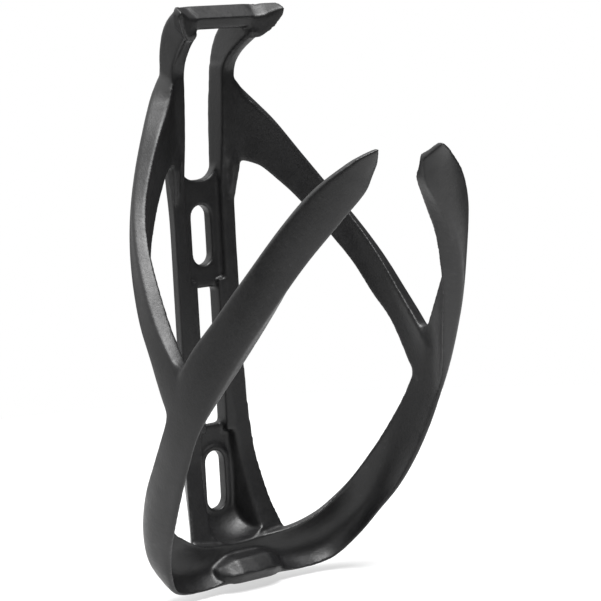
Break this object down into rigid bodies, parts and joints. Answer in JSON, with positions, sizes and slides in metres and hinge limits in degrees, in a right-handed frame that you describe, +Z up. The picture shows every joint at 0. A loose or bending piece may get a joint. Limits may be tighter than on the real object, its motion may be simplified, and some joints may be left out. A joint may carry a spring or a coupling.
{
  "type": "water bottle cage",
  "caption": "Moulded side-arm bottle cage with a slotted flat back, a top hook and two arms that sweep round the bottle and flex to grip it.",
  "frame": {"origin": "on the flat mounting face, half way between the two bolt slots", "axes": "+Z up along the bottle's axis, +Y out of the mounting face towards the bicycle's tube, +X to the right when looking along +Y"},
  "size_m": [0.0784, 0.0863, 0.1485],
  "materials": {
    "moulded_nylon": "fine-grained matte charcoal, glass-filled nylon as moulded"
  },
  "bodies": {
    "root": {"upper_bolt_plate": "moulded_nylon", "lower_bolt_plate": "moulded_nylon", "left_slot_rail": "moulded_nylon", "right_slot_rail": "moulded_nylon", "left_window_bar": "moulded_nylon", "right_window_bar": "moulded_nylon", "left_foot_flange": "moulded_nylon", "right_foot_flange": "moulded_nylon", "cradle_foot": "moulded_nylon", "cradle_band": "moulded_nylon", "bottle_rest": "moulded_nylon"},
    "hook": {"left_hook_post": "moulded_nylon", "right_hook_post": "moulded_nylon", "hook_bridge": "moulded_nylon", "left_hook_ear": "moulded_nylon", "right_hook_ear": "moulded_nylon"},
    "left_wing": {"left_strut": "moulded_nylon", "left_cradle_arm": "moulded_nylon", "left_elbow": "moulded_nylon", "left_arm": "moulded_nylon", "left_arm_tip": "moulded_nylon"},
    "right_wing": {"right_strut": "moulded_nylon", "right_cradle_arm": "moulded_nylon", "right_elbow": "moulded_nylon", "right_arm": "moulded_nylon", "right_arm_tip": "moulded_nylon"}
  },
  "joints": [
    {"name": "left_wing_flex", "type": "hinge", "parent": "root", "child": "left_wing", "pos_m": [-0.0103, -0.001, 0], "axis": [0, 0, -1], "range_deg": [0, 5], "stiffness_Nm_per_rad": 5},
    {"name": "right_wing_flex", "type": "hinge", "parent": "root", "child": "right_wing", "pos_m": [0.0103, -0.001, 0], "axis": [0, 0, 1], "range_deg": [0, 5], "stiffness_Nm_per_rad": 5},
    {"name": "hook_flex", "type": "hinge", "parent": "root", "child": "hook", "pos_m": [0, -0.0017, 0.0735], "axis": [-1, 0, 0], "range_deg": [0, 5], "stiffness_Nm_per_rad": 0.05}
  ]
}
